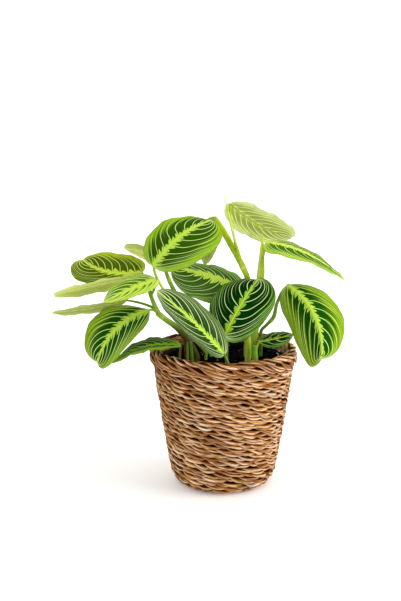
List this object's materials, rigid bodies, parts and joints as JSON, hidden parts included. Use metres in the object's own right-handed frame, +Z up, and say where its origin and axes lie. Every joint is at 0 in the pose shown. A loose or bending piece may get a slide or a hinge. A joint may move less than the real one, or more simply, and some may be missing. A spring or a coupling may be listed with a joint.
{
  "type": "potted prayer plant",
  "caption": "Prayer plant with broad lime-veined leaves on thin stalks, growing in soil in a liner inside a round woven basket.",
  "frame": {"origin": "centre of the basket's flat underside, on the surface it stands on", "axes": "+Z up, +X to the right and +Y to the back as the plant is seen from its front"},
  "size_m": [0.3538, 0.18, 0.366],
  "materials": {
    "seagrass": "twined dry seagrass, matte with a slight sheen on the strands",
    "black_plastic": "thin moulded plastic, satin",
    "soil": "moist dark potting mix, matte",
    "leaf": "green blade with lime midrib band and pale veins, satin",
    "stem": "smooth green stem, satin",
    "dry_stem": "dry brown sheath, matte"
  },
  "bodies": {
    "root": {"basket_base": "seagrass", "basket_wall": "seagrass", "basket_rim": "seagrass", "nursery_pot": "black_plastic", "potting_soil": "soil", "left_stem": "stem", "upper_left_stalk": "stem", "back_left_stalk": "stem", "tall_stem": "stem", "new_leaf_spike": "stem", "centre_sheath": "stem", "right_stalk": "stem", "front_right_stalk": "stem", "front_stalk": "stem", "back_stalk": "stem", "rim_leaf_stalk": "stem", "small_leaf_stalk": "stem", "green_stub_small": "stem", "green_stub_large": "stem", "pointed_sheath": "stem", "cut_stub": "stem", "brown_old_stem": "dry_stem", "leaf_upper_left": "leaf", "leaf_top_right": "leaf", "leaf_right_upper": "leaf", "leaf_right_hanging": "leaf", "leaf_front_right": "leaf", "leaf_front_centre": "leaf", "leaf_back_centre": "leaf", "leaf_left_upper": "leaf", "leaf_left_long": "leaf", "leaf_left_bright": "leaf", "leaf_left_lower": "leaf", "leaf_left_hanging": "leaf", "leaf_over_rim": "leaf", "leaf_small_right": "leaf", "leaf_back_left": "leaf", "leaf_top_back": "leaf"}
  },
  "joints": []
}
